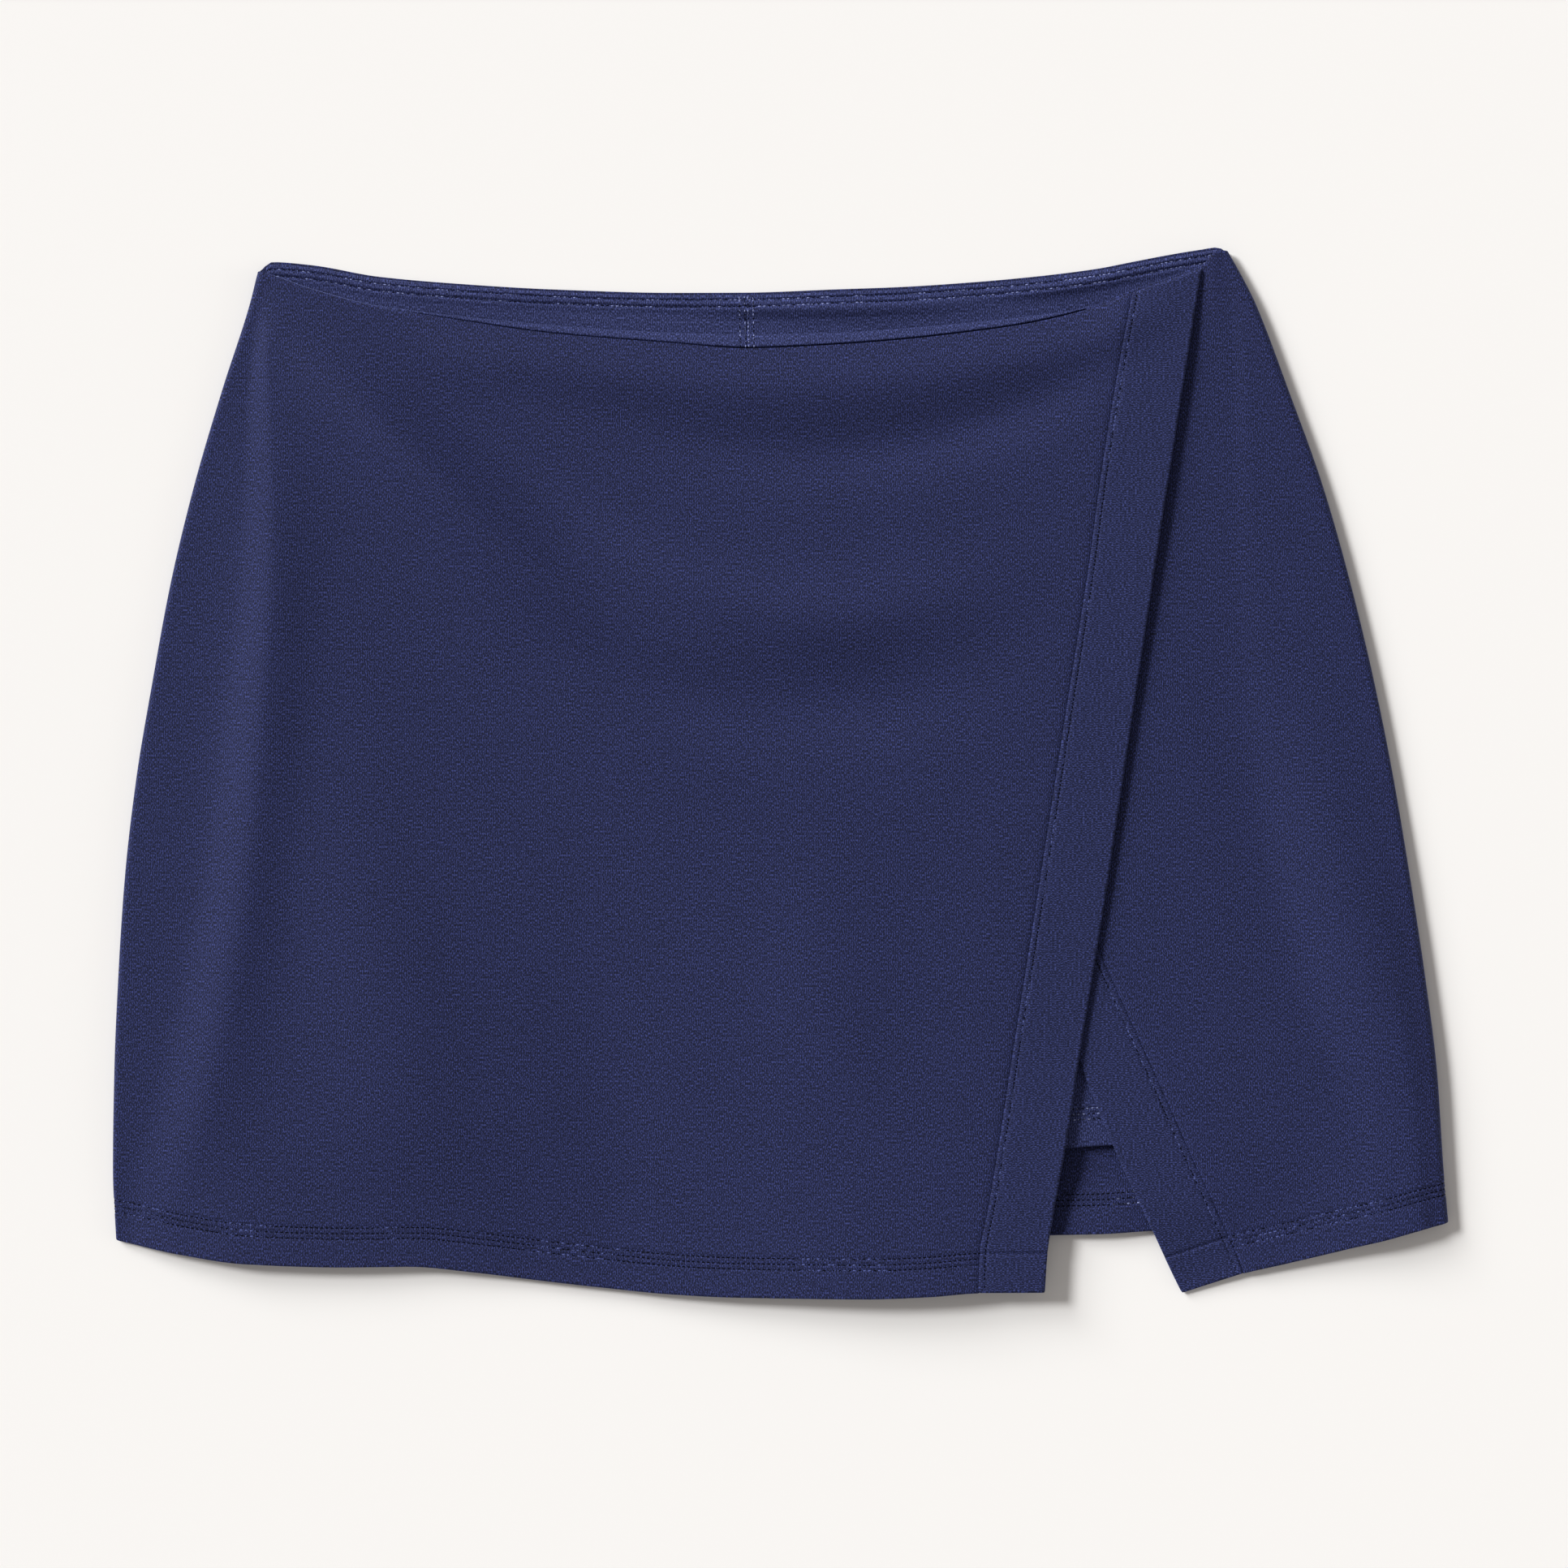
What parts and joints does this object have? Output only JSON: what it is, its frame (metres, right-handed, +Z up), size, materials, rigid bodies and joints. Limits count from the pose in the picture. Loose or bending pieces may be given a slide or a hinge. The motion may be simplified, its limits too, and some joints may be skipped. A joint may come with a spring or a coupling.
{
  "type": "wrap skort",
  "caption": "Knit skort laid flat: a short skirt whose front wraps over itself to a slit, with plain bands on the wrap edges and short leggings sewn in at the waist.",
  "frame": {"origin": "on the table, under the middle of the garment's box", "axes": "+X to the right over the front, which is the wearer's left; +Y from hem to waist; +Z up from the table"},
  "size_m": [0.616, 0.4841, 0.014],
  "materials": {
    "shell_knit": "matt double-knit jersey with fine upright wales",
    "band_knit": "the same knit folded double, wales across the band",
    "shorts_knit": "the same knit seen from inside, slightly lighter"
  },
  "bodies": {
    "root": {"skirt_back": "shell_knit", "skirt_front_over": "shell_knit", "skirt_front_under": "shell_knit", "wrap_band_over": "band_knit", "wrap_band_under": "band_knit", "shorts_back_left": "shorts_knit", "shorts_back_right": "shorts_knit", "shorts_front_left": "shorts_knit", "shorts_front_right": "shorts_knit"}
  },
  "joints": []
}
